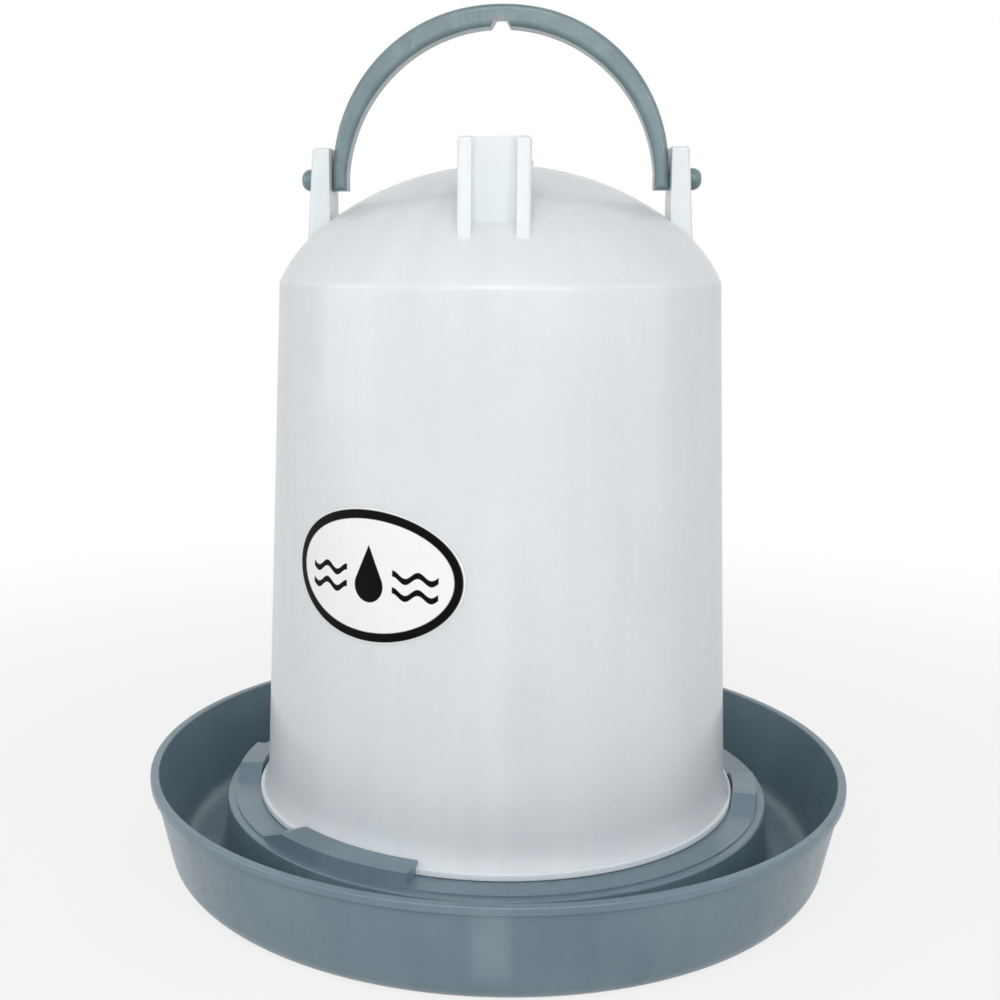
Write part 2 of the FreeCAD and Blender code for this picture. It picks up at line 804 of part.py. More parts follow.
def make_notch(body):
    """A notch with sloping sides across the underside of the arch, in which a hook centres itself."""
    crown = arch_underside()
    below = crown - SIZE["notch_depth"]
    mouth = SIZE["notch_width"] / 2
    roof = SIZE["notch_top_width"] / 2
    sketch = new_sketch(body, "notch_section", "XZ_Plane")
    draw_outline(sketch, [
        (-mouth, below),
        (mouth, below),
        (mouth, crown),
        (roof, crown + SIZE["notch_depth"]),
        (-roof, crown + SIZE["notch_depth"]),
        (-mouth, crown),
    ])
    before = body.Shape.Volume
    notch = extruded(body, "notch", sketch, SIZE["handle_width"] * 2, cut=True, side="Symmetric")
    if changed_volume(notch, before) > -1:
        raise ValueError("notch cuts nothing")


def make_pins(body):
    """A shaft through each drilled lug and a rounded head outside it."""
    leg = leg_inside()
    outside = head_start()
    for name, sign in (("right", 1.0), ("left", -1.0)):
        before = body.Shape.Volume
        sketch = new_sketch(body, "pin_section_" + name, "YZ_Plane", ZERO, (leg + SIZE["handle_edge"]) * sign)
        draw_circle(sketch, ZERO, ZERO, SIZE["pin_radius"])
        length = outside - leg
        extruded(body, "pin_" + name, sketch, length, reverse=sign < 0)
        sketch = new_sketch(body, "pin_head_section_" + name, "YZ_Plane", ZERO, outside * sign)
        draw_circle(sketch, ZERO, ZERO, SIZE["pin_head_radius"])
        head = extruded(body, "pin_head_" + name, sketch, SIZE["pin_head_length"], reverse=sign < 0)
        if changed_volume(head, before) < 1:
            raise ValueError("pin adds nothing")
        rounded(body, "pin_head_rounding_" + name, head, head_edges(head.Shape, sign),
                SIZE["pin_head_radius"] * 0.8)


def head_edges(shape, sign):
    """The outer round edge of a pin's head."""
    reach = (head_start() + SIZE["pin_head_length"]).value
    names = []
    for index, edge in enumerate(shape.Edges, start=1):
        if isinstance(edge.Curve, Part.Circle) and abs(edge.Curve.Center.x - sign * reach) < 1e-3:
            names.append("Edge%d" % index)
    return names


# ---------------------------------------------------------------- label
def bound(kind, name, **sizes):
    """A primitive whose properties are bound to terms."""
    feature = doc.addObject(kind, name)
    for prop, term in sizes.items():
        setattr(feature, prop, term.value)
        feature.setExpression(prop, term.text)
    return feature


def place_at(feature, axis, height):
    """Put a feature on one axis of the object at a height, both terms."""
    setattr(feature.Placement.Base, axis, 0)
    feature.setExpression("Placement.Base.z", height.text)


def make_label():
    """A thin oval skin on the wall: an elliptic column meets a shell that lies on the wall's cone."""
    low = SIZE["wall_radius"]
    high = SIZE["shoulder_radius"]
    rise = SIZE["wall_height"]
    skin = SIZE["label_thickness"]
    outside = bound("Part::Cone", "label_outside", Radius1=low + skin, Radius2=high + skin, Height=rise)
    inside = bound("Part::Cone", "label_inside", Radius1=low, Radius2=high, Height=rise)
    for cone in (outside, inside):
        place_at(cone, "z", flare_top())
    shell = doc.addObject("Part::Cut", "label_shell")
    shell.Base = outside
    shell.Tool = inside
    oval = bound("Part::Ellipse", "label_oval",
                 MajorRadius=SIZE["label_width"] / 2, MinorRadius=SIZE["label_height"] / 2)
    oval.Placement = FreeCAD.Placement(FreeCAD.Vector(0, 0, 0), FreeCAD.Rotation(FreeCAD.Vector(1, 0, 0), 90))
    place_at(oval, "z", fount_foot() + SIZE["label_rise"])
    column = doc.addObject("Part::Extrusion", "label_column")
    column.Base = oval
    column.DirMode = "Custom"
    column.Dir = FreeCAD.Vector(0, -1, 0)
    column.Solid = True
    column.LengthFwd = (low + skin).value * 1.1
    column.setExpression("LengthFwd", ((low + skin) * 1.1).text)
    label = doc.addObject("Part::Common", "label")
    label.Base = column
    label.Tool = shell
    label.Label = "label"
    turn = SIZE["label_azimuth"]
    label.Placement = FreeCAD.Placement(FreeCAD.Vector(0, 0, 0),
                                        FreeCAD.Rotation(FreeCAD.Vector(0, 0, 1), turn.value))
    label.setExpression("Placement.Rotation.Angle", turn.text)
    return label


# ---------------------------------------------------------------- check and write
def check_document():
    """Stop if any object has failed or any sub-part is not a valid solid."""
    for item in doc.Objects:
        if "Invalid" in item.State or "Error" in item.State:
            raise ValueError("%s is %s" % (item.Label, item.State))


def main():
    parts = [make_tray(), make_fount(), make_handle(), make_label()]
    doc.recompute()
    check_document()
    os.makedirs("parts", exist_ok=True)
    for part in parts:
        shape = part.Shape
        if shape.isNull() or not shape.isValid() or len(shape.Solids) != 1:
            raise ValueError("%s is not one valid solid" % part.Label)
        box = shape.optimalBoundingBox(False)
        print("%-8s %9.0f mm3, z %.2f to %.2f" % (part.Label, shape.Volume, box.ZMin, box.ZMax))
    for part in parts:
        part.Shape.exportStep(os.path.join("parts", part.Label + ".step"))


main()
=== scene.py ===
"""Looks of a siphon drinker for poultry: blue-grey tray, milky fount, folding handle and oval label.

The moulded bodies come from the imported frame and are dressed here. The printed label is made here.
Everything is in metres, in the row's frame: +Z is up, -Y is the front and +X runs along the handle's pins.
"""

from __future__ import annotations

import json
import logging
import math
from dataclasses import dataclass, field
from enum import Enum
from typing import Any

import bpy
import numpy as np
from mathutils import Euler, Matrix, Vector

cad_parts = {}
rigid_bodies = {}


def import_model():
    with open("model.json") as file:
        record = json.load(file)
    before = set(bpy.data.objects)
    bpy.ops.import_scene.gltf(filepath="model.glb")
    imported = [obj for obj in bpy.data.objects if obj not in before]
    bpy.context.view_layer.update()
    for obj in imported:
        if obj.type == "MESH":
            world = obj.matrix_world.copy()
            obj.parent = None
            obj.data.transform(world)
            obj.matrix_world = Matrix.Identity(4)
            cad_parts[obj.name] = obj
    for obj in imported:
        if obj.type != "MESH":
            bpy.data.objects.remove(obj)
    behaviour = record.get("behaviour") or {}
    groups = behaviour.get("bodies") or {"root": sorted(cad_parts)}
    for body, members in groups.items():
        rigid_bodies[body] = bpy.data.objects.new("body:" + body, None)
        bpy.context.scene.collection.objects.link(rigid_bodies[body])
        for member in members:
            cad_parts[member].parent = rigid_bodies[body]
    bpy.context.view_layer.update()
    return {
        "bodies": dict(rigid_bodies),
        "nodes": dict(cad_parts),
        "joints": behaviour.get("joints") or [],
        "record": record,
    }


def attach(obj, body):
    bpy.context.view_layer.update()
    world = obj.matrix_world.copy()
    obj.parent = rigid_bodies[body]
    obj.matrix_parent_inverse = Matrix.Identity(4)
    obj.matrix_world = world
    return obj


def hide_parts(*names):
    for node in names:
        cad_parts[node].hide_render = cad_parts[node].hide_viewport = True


LOG = logging.getLogger("drinker")
MM = 0.001
MM_PER_METRE = 1000.0
WHITE = (1.0, 1.0, 1.0, 1.0)
PLASTIC_IOR = 1.5
NOISE_SPAN = (0.3, 0.7)  # most values of a noise texture lie between these
FILM_MAP = "film"
FILM_SPAN_MM = 100.0  # how many millimetres of the label's film one whole step of its UV map covers

Tree = bpy.types.NodeTree
Socket = bpy.types.NodeSocket
Colour = tuple[float, float, float, float]
Span = tuple[float, float]
Inputs = dict[str | int, Any] | tuple[Any, ...]


# ---------------------------------------------------------------- colours and nodes
def linear(hex_colour: str) -> Colour:
    """Turn an sRGB hex colour into a linear colour with full alpha.

    Args:
        hex_colour: Six hex digits after a hash sign.

    Returns:
        Red, green, blue and alpha, linear, from 0 to 1.
    """
    parts = [int(hex_colour[i : i + 2], 16) / 255.0 for i in (1, 3, 5)]
    red, green, blue = (c / 12.92 if c <= 0.04045 else ((c + 0.055) / 1.055) ** 2.4 for c in parts)
    return red, green, blue, 1.0


def per_metre(size_mm: float) -> float:
    """Scale of a pattern whose detail repeats every size_mm millimetres, on Object coordinates in metres."""
    return MM_PER_METRE / size_mm


def add_node(tree: Tree, kind: str, inputs: Inputs = (), **settings: Any) -> bpy.types.Node:
    """Add a node, set its own settings, and fill or link its inputs.

    Args:
        tree: The node tree that gets the node.
        kind: Blender's name for the kind of node.
        inputs: For each input a plain value or the output that feeds it: by name or number, or in order.
        settings: The node's own properties, by name.

    Returns:
        The new node.
    """
    made = tree.nodes.new(kind)
    for name, value in settings.items():
        setattr(made, name, value)
    for place, value in inputs.items() if isinstance(inputs, dict) else enumerate(inputs):
        if isinstance(value, Socket):
            tree.links.new(value, made.inputs[place])
        else:
            made.inputs[place].default_value = value
    return made


def add_math(tree: Tree, operation: str, *values: Any, clamp: bool = False) -> Socket:
    """Work out one sum on numbers.

    Args:
        tree: The node tree.
        operation: Blender's name for the sum.
        values: Numbers or outputs, in order.
        clamp: Whether the result is kept from 0 to 1.

    Returns:
        The result.
    """
    return add_node(tree, "ShaderNodeMath", values, operation=operation, use_clamp=clamp).outputs[0]


def add_vector_math(tree: Tree, operation: str, *values: Any) -> Socket:
    """Work out one sum on vectors.

    Args:
        tree: The node tree.
        operation: Blender's name for the sum.
        values: Vectors or outputs, in order.

    Returns:
        The result: a number for LENGTH, otherwise a vector.
    """
    made = add_node(tree, "ShaderNodeVectorMath", values, operation=operation)
    return made.outputs["Value" if operation == "LENGTH" else "Vector"]


def add_noise(tree: Tree, place: Socket, scale: float, detail: float, roughness: float = 0.5) -> Socket:
    """Add a noise texture.

    Args:
        tree: The node tree.
        place: Where the noise is read.
        scale: Steps of the noise for each unit of place.
        detail: How many finer noises are laid over it.
        roughness: How strong those are.

    Returns:
        The noise, mostly within NOISE_SPAN.
    """
    inputs = {"Vector": place, "Scale": scale, "Detail": detail, "Roughness": roughness}
    return add_node(tree, "ShaderNodeTexNoise", inputs).outputs["Fac"]


def add_range(tree: Tree, value: Socket, source: Span, result: Span, **settings: Any) -> Socket:
    """Stretch a value from one span to another, held at its ends.

    Args:
        tree: The node tree.
        value: What is stretched.
        source: Two values of it.
        result: What those two become.
        settings: The node's own properties, by name.

    Returns:
        The stretched value.
    """
    return add_node(tree, "ShaderNodeMapRange", (value, *source, *result), **settings).outputs[0]


def add_blend(tree: Tree, share: Socket, first: Any, second: Any) -> Socket:
    """Blend two colours.

    Args:
        tree: The node tree.
        share: Share of the second colour.
        first: A colour or the output that gives it.
        second: The same for the other colour.

    Returns:
        The blended colour.
    """
    return add_node(tree, "ShaderNodeMix", {0: share, 6: first, 7: second}, data_type="RGBA").outputs[2]


def add_bump(tree: Tree, height: Socket, depth_mm: float, under: Socket | None = None) -> Socket:
    """Tilt the surface's normal by a height.

    Args:
        tree: The node tree.
        height: The height, from 0 to 1.
        depth_mm: What a height of 1 stands for.
        under: A normal that is tilted already, if there is one.

    Returns:
        The normal.
    """
    inputs = {"Strength": 1.0, "Distance": depth_mm * MM, "Height": height}
    if under is not None:
        inputs["Normal"] = under
    return add_node(tree, "ShaderNodeBump", inputs).outputs["Normal"]


def blank_material(name: str) -> bpy.types.Material:
    """A material with an empty node tree.

    Args:
        name: Material name.

    Returns:
        The new material.
    """
    material = bpy.data.materials.new(name)
    material.use_nodes = True
    material.node_tree.nodes.clear()
    return material


# ---------------------------------------------------------------- finishes
FLOW_RADIUS_MM = 100.0  # how far from the axis a flow mark has its given width
FLOW_CLIMB = 0.9  # steps of the flow noise for each metre up; a turn round the axis takes 2 pi of them
FLOW_SPAN = (0.35, 0.65)  # values of the flow noise where a mark is lightest and darkest
SCUFF_TURN = (0.35, 0.2, 0.5)  # radians about x, y and z that slant the scuffs
SCUFF_STRETCH = (1.0, 1.0, 0.22)  # a scuff is longer than wide
SCUFF_SPAN = (0.66, 0.72)  # values of the fine noise where a scuff begins and is whole
PATCH_SPAN = (0.55, 0.7)  # the same for the broad noise and a patch that holds scuffs


class Moulding(Enum):
    """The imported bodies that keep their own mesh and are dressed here."""

    TRAY = "tray"
    FOUNT = "fount"
    HANDLE = "handle"


@dataclass(frozen=True)
class MouldedFinish:
    """An injection-moulded plastic: satin skin, cloudy pigment, flow marks that run away from the gate.

    Attributes:
        name: Material name.
        light: Colour where the pigment is thin.
        dark: Colour where the pigment is dense.
        roughness: Roughness of the skin, about which it varies.
        specular: Specular level of the skin.
        cloud_mm: Width of a cloud in the pigment.
        mottle_share: How strongly the fine mottle tints the colour.
        flow_mm: Width of a flow mark.
        flow_share: How strongly flow marks tint the colour.
        skin_mm: Grain of the skin, drawn coarser than the real 0.1 mm so that it shows.
        skin_depth_mm: Depth of that grain.
        scuff: How strongly fine scuffs lighten the skin.
        polish: Weight of the thin glossy skin that the mould's polished wall leaves.
        polish_roughness: Roughness of that skin.
        glow: Subsurface weight.
        glow_mm: How far red, green and blue light travels inside the wall.
        roughness_swing: What the mottle adds to the roughness at its lowest and its highest.
        cloud_shares: Share of the dark pigment where the clouds are thinnest and densest.
        mottle_mm: Width of a speck of the mottle.
        flow_depth_mm: Depth of a flow mark.
        wave_mm: Width of the shallow waves that shrinkage leaves.
        wave_depth_mm: Depth of those waves.
        scuff_colour: Colour of scuffed skin.
        scuff_mm: Width of one scuff.
        scuff_patch_mm: Width of a patch that holds scuffs.
        scuff_roughness: What scuffed skin adds to the roughness.
    """

    name: str
    light: str
    dark: str
    roughness: float
    specular: float
    cloud_mm: float
    mottle_share: float
    flow_mm: float
    flow_share: float
    skin_mm: float
    skin_depth_mm: float
    scuff: float
    polish: float
    polish_roughness: float
    glow: float = 0.0
    glow_mm: tuple[float, float, float] = (1.0, 1.0, 1.0)
    roughness_swing: Span = (-0.04, 0.05)
    cloud_shares: Span = (0.15, 0.75)
    mottle_mm: float = 3.0
    flow_depth_mm: float = 0.03
    wave_mm: float = 16.0
    wave_depth_mm: float = 0.06
    scuff_colour: str = "#f0f2f2"
    scuff_mm: float = 1.6
    scuff_patch_mm: float = 28.0
    scuff_roughness: float = 0.5

    def material(self) -> bpy.types.Material:
        """Build the material.

        Returns:
            The finished material.
        """
        made = blank_material(self.name)
        tree = made.node_tree
        place = add_node(tree, "ShaderNodeTexCoord").outputs["Object"]
        mottle = add_noise(tree, place, per_metre(self.mottle_mm), detail=4.0, roughness=0.6)
        flow = self.flow_marks(tree, place)
        scuffs = self.scuffs(tree, place)
        pigment = self.pigment(tree, place, mottle, flow)
        clean = add_blend(tree, pigment, linear(self.light), linear(self.dark))
        low, high = self.roughness_swing
        satin = add_range(tree, mottle, NOISE_SPAN, (self.roughness + low, self.roughness + high))
        shader = add_node(tree, "ShaderNodeBsdfPrincipled", {
            "Base Color": add_blend(tree, scuffs, clean, linear(self.scuff_colour)),
            "Roughness": add_math(tree, "MULTIPLY_ADD", scuffs, self.scuff_roughness, satin),
            "IOR": PLASTIC_IOR,
            "Specular IOR Level": self.specular,
            "Coat Weight": self.polish,
            "Coat Roughness": self.polish_roughness,
            "Subsurface Weight": self.glow,
            "Subsurface Radius": tuple(size / max(self.glow_mm) for size in self.glow_mm),
            "Subsurface Scale": max(self.glow_mm) * MM,
            "Normal": self.skin(tree, place, flow),
        })
        add_node(tree, "ShaderNodeOutputMaterial", {"Surface": shader.outputs["BSDF"]})
        return made

    def pigment(self, tree: Tree, place: Socket, mottle: Socket, flow: Socket) -> Socket:
        """Share of the dark pigment: broad clouds, the fine mottle and the flow marks added up.

        Args:
            tree: The node tree.
            place: Object coordinates.
            mottle: Fine noise.
            flow: Flow marks.

        Returns:
            The share, from 0 to 1.
        """
        clouds = add_noise(tree, place, per_metre(self.cloud_mm), detail=3.0)
        broad = add_range(tree, clouds, NOISE_SPAN, self.cloud_shares)
        fine = add_range(tree, mottle, NOISE_SPAN, (-self.mottle_share, self.mottle_share))
        marks = add_range(tree, flow, FLOW_SPAN, (-self.flow_share, self.flow_share))
        both = add_math(tree, "ADD", broad, fine)
        return add_math(tree, "ADD", both, marks, clamp=True)

    def flow_marks(self, tree: Tree, place: Socket) -> Socket:
        """Streaks that leave the gate on the axis: noise over the compass angle, stretched up the wall.

        Args:
            tree: The node tree.
            place: Object coordinates.

        Returns:
            The streaks' factor.
        """
        around = add_vector_math(tree, "MULTIPLY", place, (1.0, 1.0, 0.0))
        outward = add_vector_math(tree, "NORMALIZE", around)
        rise = add_vector_math(tree, "MULTIPLY", place, (0.0, 0.0, FLOW_CLIMB))
        spot = add_vector_math(tree, "ADD", outward, rise)
        return add_noise(tree, spot, FLOW_RADIUS_MM / self.flow_mm, detail=3.0, roughness=0.55)

    def scuffs(self, tree: Tree, place: Socket) -> Socket:
        """Rare short scuffs from stacking: peaks of a stretched noise, kept where a broad noise is high.

        Args:
            tree: The node tree.
            place: Object coordinates.

        Returns:
            Share of scuffed skin, from 0 up to the finish's own limit.
        """
        slanted = add_node(tree, "ShaderNodeMapping",
                           {"Vector": place, "Scale": SCUFF_STRETCH, "Rotation": SCUFF_TURN})
        fine = add_noise(tree, slanted.outputs["Vector"], per_metre(self.scuff_mm), detail=2.0)
        broad = add_noise(tree, place, per_metre(self.scuff_patch_mm), detail=1.0)
        peaks = add_range(tree, fine, SCUFF_SPAN, (0.0, 1.0))
        kept = add_range(tree, broad, PATCH_SPAN, (0.0, self.scuff))
        return add_math(tree, "MULTIPLY", peaks, kept)

    def skin(self, tree: Tree, place: Socket, flow: Socket) -> Socket:
        """Normal of the skin: shallow waves from shrinkage, the flow marks, and the mould's fine grain.

        Args:
            tree: The node tree.
            place: Object coordinates.
            flow: Flow marks.

        Returns:
            The bumped normal.
        """
        grain = add_noise(tree, place, per_metre(self.skin_mm), detail=2.0)
        waves = add_noise(tree, place, per_metre(self.wave_mm), detail=1.0)
        waved = add_bump(tree, waves, self.wave_depth_mm)
        streaked = add_bump(tree, flow, self.flow_depth_mm, waved)
        return add_bump(tree, grain, self.skin_depth_mm, streaked)


# Polypropylene, injection-moulded, blue-grey masterbatch: an even satin skin, too dull for a sharp image.
TRAY_PLASTIC = MouldedFinish(
    name="polypropylene_moulded_blue_grey", light="#728691", dark="#5e727e", roughness=0.36, specular=0.45,
    cloud_mm=45.0, mottle_share=0.10, flow_mm=9.0, flow_share=0.12, skin_mm=1.3, skin_depth_mm=0.012,
    scuff=0.08, polish=0.22, polish_roughness=0.13)

# High-density polyethylene without pigment: waxy, milky, and light travels some millimetres inside the wall.
FOUNT_PLASTIC = MouldedFinish(
    name="polyethylene_moulded_natural", light="#e3e9eb", dark="#d9dfe2", roughness=0.40, specular=0.40,
    cloud_mm=60.0, mottle_share=0.12, flow_mm=14.0, flow_share=0.18, skin_mm=1.8, skin_depth_mm=0.012,
    scuff=0.06, polish=0.30, polish_roughness=0.09, glow=0.40, glow_mm=(6.0, 6.0, 5.5))

# Polypropylene, injection-moulded, grey-green masterbatch: as the tray, its pigment stirred in less evenly.
HANDLE_PLASTIC = MouldedFinish(
    name="polypropylene_moulded_grey_green", light="#788c91", dark="#5e7474", roughness=0.33, specular=0.45,
    cloud_mm=11.0, mottle_share=0.16, flow_mm=6.0, flow_share=0.10, skin_mm=1.0, skin_depth_mm=0.010,
    scuff=0.10, polish=0.20, polish_roughness=0.16)


@dataclass(frozen=True)
class PrintedFilm:
    """White vinyl film, screen-printed in black: a ring, and in it a plain water drop between wavy lines.

    Attributes:
        name: Material name.
        film: Colour of the bare film.
        film_thin: Its colour where the white is thinner.
        ink: Colour of the ink.
        gloss: Specular level of film and ink.
        roughness_span: Roughness in the lowest and the highest specks of the white.
        margin_mm: Bare edge outside the ring.
        ring_mm: Width of the ring.
        ring_edge: Shares of an ellipse's half-axes between which the ring's edge bleeds.
        half_width_mm: Half of the film's width, measured along the wall.
        half_height_mm: Half of its height.
        drop_reach_mm: Radius of the drop's round end.
        drop_middle_mm: Height of that end's centre, from the film's middle.
        drop_tip_mm: Height of the drop's point.
        line_heights_mm: Height of each wavy line.
        line_half_mm: Half of a line's width.
        line_swing_mm: How far a line swings up and down.
        line_turns: Swings of a line, in radians for each millimetre.
        line_ends_mm: Where a line starts and ends, from the film's middle.
        soft_mm: How far the ink of drop and lines bleeds.
        fibre_mm: Width of a speck in the white.
        crease_mm: Width of the waves in the film.
        crease_depth_mm: Depth of those waves.
        ink_depth_mm: Thickness of the ink.
    """

    name: str = "vinyl_film_screen_printed"
    film: str = "#f6f6f4"
    film_thin: str = "#f1f1ee"
    ink: str = "#08090b"
    gloss: float = 0.06
    roughness_span: Span = (0.28, 0.38)
    margin_mm: float = 0.5
    ring_mm: float = 3.4
    ring_edge: Span = (0.993, 1.007)
    half_width_mm: float = 37.6
    half_height_mm: float = 24.8
    drop_reach_mm: float = 6.2
    drop_middle_mm: float = -3.6
    drop_tip_mm: float = 11.5
    line_heights_mm: tuple[float, float] = (-5.4, 0.8)
    line_half_mm: float = 1.15
    line_swing_mm: float = 1.3
    line_turns: float = 0.62
    line_ends_mm: tuple[float, float] = (10.0, 28.0)
    soft_mm: float = 0.15
    fibre_mm: float = 1.2
    crease_mm: float = 12.0
    crease_depth_mm: float = 0.05
    ink_depth_mm: float = 0.02

    def material(self) -> bpy.types.Material:
        """Build the material; the print reads the piece's own UV map, whose middle is the film's middle.

        Returns:
            The finished material.
        """
        made = blank_material(self.name)
        tree = made.node_tree
        flat = add_node(tree, "ShaderNodeUVMap", uv_map=FILM_MAP).outputs["UV"]
        to_middle = -FILM_SPAN_MM / 2.0
        spot = add_node(tree, "ShaderNodeMapping", {
            "Vector": flat,
            "Scale": (FILM_SPAN_MM, FILM_SPAN_MM, 0.0),
            "Location": (to_middle, to_middle, 0.0),
        }).outputs["Vector"]
        signs = add_math(tree, "MAXIMUM", self.drop(tree, spot), self.waves(tree, spot))
        ink = add_math(tree, "MAXIMUM", self.ring(tree, spot), signs)
        place = add_node(tree, "ShaderNodeTexCoord").outputs["Object"]
        fibres = add_noise(tree, place, per_metre(self.fibre_mm), detail=3.0)
        creases = add_noise(tree, place, per_metre(self.crease_mm), detail=2.0)
        film = add_blend(tree, fibres, linear(self.film), linear(self.film_thin))
        creased = add_bump(tree, creases, self.crease_depth_mm)
        shader = add_node(tree, "ShaderNodeBsdfPrincipled", {
            "Base Color": add_blend(tree, ink, film, linear(self.ink)),
            "Roughness": add_range(tree, fibres, NOISE_SPAN, self.roughness_span),
            "IOR": PLASTIC_IOR,
            "Specular IOR Level": self.gloss,
            "Normal": add_bump(tree, ink, self.ink_depth_mm, creased),
        })
        add_node(tree, "ShaderNodeOutputMaterial", {"Surface": shader.outputs["BSDF"]})
        return made

    def inked(self, tree: Tree, beyond: Socket) -> Socket:
        """Ink inside an outline.

        Args:
            tree: The node tree.
            beyond: Millimetres outside the outline, less than 0 within it.

        Returns:
            The ink, from 0 to 1.
        """
        return add_range(tree, beyond, (-self.soft_mm, self.soft_mm), (1.0, 0.0))

    def ring(self, tree: Tree, spot: Socket) -> Socket:
        """Ink between two ellipses: inside each, the spot divided by the half-axes is shorter than 1.

        Args:
            tree: The node tree.
            spot: Millimetres from the film's middle, across and up.

        Returns:
            The ring's ink, from 0 to 1.
        """
        inside = []
        for inset in (self.margin_mm, self.margin_mm + self.ring_mm):
            half_axes = (self.half_width_mm - inset, self.half_height_mm - inset, 1.0)
            reach = add_vector_math(tree, "LENGTH", add_vector_math(tree, "DIVIDE", spot, half_axes))
            inside.append(add_range(tree, reach, self.ring_edge, (1.0, 0.0)))
        return add_math(tree, "SUBTRACT", *inside)

    def drop(self, tree: Tree, spot: Socket) -> Socket:
        """A water drop: a circle below, and a cone that touches it and runs up to a point.

        Args:
            tree: The node tree.
            spot: Millimetres from the film's middle, across and up.

        Returns:
            The drop's ink, from 0 to 1.
        """
        lean = math.asin(self.drop_reach_mm / (self.drop_tip_mm - self.drop_middle_mm))
        contact = self.drop_middle_mm + self.drop_reach_mm * math.sin(lean)
        lowered = add_vector_math(tree, "SUBTRACT", spot, (0.0, self.drop_middle_mm, 0.0))
        away = add_vector_math(tree, "LENGTH", lowered)
        circle = add_math(tree, "SUBTRACT", away, self.drop_reach_mm)
        apart = add_node(tree, "ShaderNodeSeparateXYZ", (spot,)).outputs
        aside = add_math(tree, "ABSOLUTE", apart["X"])
        below_tip = -self.drop_tip_mm * math.sin(lean)
        leaned = add_math(tree, "MULTIPLY_ADD", apart["Y"], math.sin(lean), below_tip)
        flank = add_math(tree, "MULTIPLY_ADD", aside, math.cos(lean), leaned)
        under = add_math(tree, "SUBTRACT", contact, apart["Y"])
        cone = add_math(tree, "MAXIMUM", flank, under)
        return self.inked(tree, add_math(tree, "MINIMUM", circle, cone))

    def waves(self, tree: Tree, spot: Socket) -> Socket:
        """Wavy lines beside the drop: bands about a cosine of the distance across, cut off at both ends.

        Args:
            tree: The node tree.
            spot: Millimetres from the film's middle, across and up.

        Returns:
            The lines' ink, from 0 to 1.
        """
        start, stop = self.line_ends_mm
        apart = add_node(tree, "ShaderNodeSeparateXYZ", (spot,)).outputs
        turned = add_math(tree, "MULTIPLY", apart["X"], self.line_turns)
        swing = add_math(tree, "COSINE", turned)
        level = add_math(tree, "MULTIPLY_ADD", swing, -self.line_swing_mm, apart["Y"])
        aside = add_math(tree, "ABSOLUTE", apart["X"])
        off_middle = add_math(tree, "SUBTRACT", aside, (start + stop) / 2.0)
        ends = add_math(tree, "SUBTRACT", add_math(tree, "ABSOLUTE", off_middle), (stop - start) / 2.0)
        lines = []
        for height in self.line_heights_mm:
            away = add_math(tree, "ABSOLUTE", add_math(tree, "SUBTRACT", level, height))
            band = add_math(tree, "SUBTRACT", away, self.line_half_mm)
            lines.append(self.inked(tree, add_math(tree, "MAXIMUM", band, ends)))
        return add_math(tree, "MAXIMUM", *lines)


# ---------------------------------------------------------------- surfaces
@dataclass
class Surface:
    """A closed skin over a grid of two parameters.

    Attributes:
        name: Object name.
        points: Grid of points in metres, rows by columns by three; its columns close into a ring.
        start: Single point that closes the first row.
        end: Single point that closes the last row.
        flat: Grid of two flat coordinates for the UV map.
        flat_ends: The flat coordinates of start and end.
    """

    name: str
    points: np.ndarray
    start: np.ndarray
    end: np.ndarray
    flat: np.ndarray
    flat_ends: tuple[tuple[float, float], tuple[float, float]]

    def faces(self) -> tuple[np.ndarray, np.ndarray]:
        """Corner numbers of the quads between rows and of the fans at both ends.

        Returns:
            Quads as rows of four, and triangles as rows of three.
        """
        rows, columns = self.points.shape[:2]
        row, column = np.meshgrid(np.arange(rows - 1), np.arange(columns), indexing="ij")
        after = (column + 1) % columns
        quads = np.stack([row * columns + column, row * columns + after,
                          (row + 1) * columns + after, (row + 1) * columns + column], axis=-1).reshape(-1, 4)
        ring = np.arange(columns)
        following = (ring + 1) % columns
        start = rows * columns
        end = start + 1
        last_row = start - columns
        first = np.stack([np.full(columns, start), following, ring], axis=-1)
        last = np.stack([np.full(columns, end), last_row + ring, last_row + following], axis=-1)
        return quads, np.concatenate([first, last])

    def make(self) -> bpy.types.Object:
        """Put the skin into a mesh object that stands at the origin.

        Returns:
            The new object, smooth shaded.
        """
        quads, fans = self.faces()
        points = np.concatenate([self.points.reshape(-1, 3), self.start[None], self.end[None]])
        mesh = bpy.data.meshes.new(self.name)
        mesh.from_pydata(points.tolist(), [], quads.tolist() + fans.tolist())
        mesh.polygons.foreach_set("use_smooth", np.ones(len(mesh.polygons), bool))
        flat = np.concatenate([self.flat.reshape(-1, 2), np.array(self.flat_ends)])
        corners = np.empty(len(mesh.loops), np.int32)
        mesh.loops.foreach_get("vertex_index", corners)
        layer = mesh.uv_layers.new(name=FILM_MAP)
        layer.data.foreach_set("uv", flat[corners].astype(np.float32).ravel())
        mesh.update()
        made = bpy.data.objects.new(self.name, mesh)
        bpy.context.scene.collection.objects.link(made)
        return made


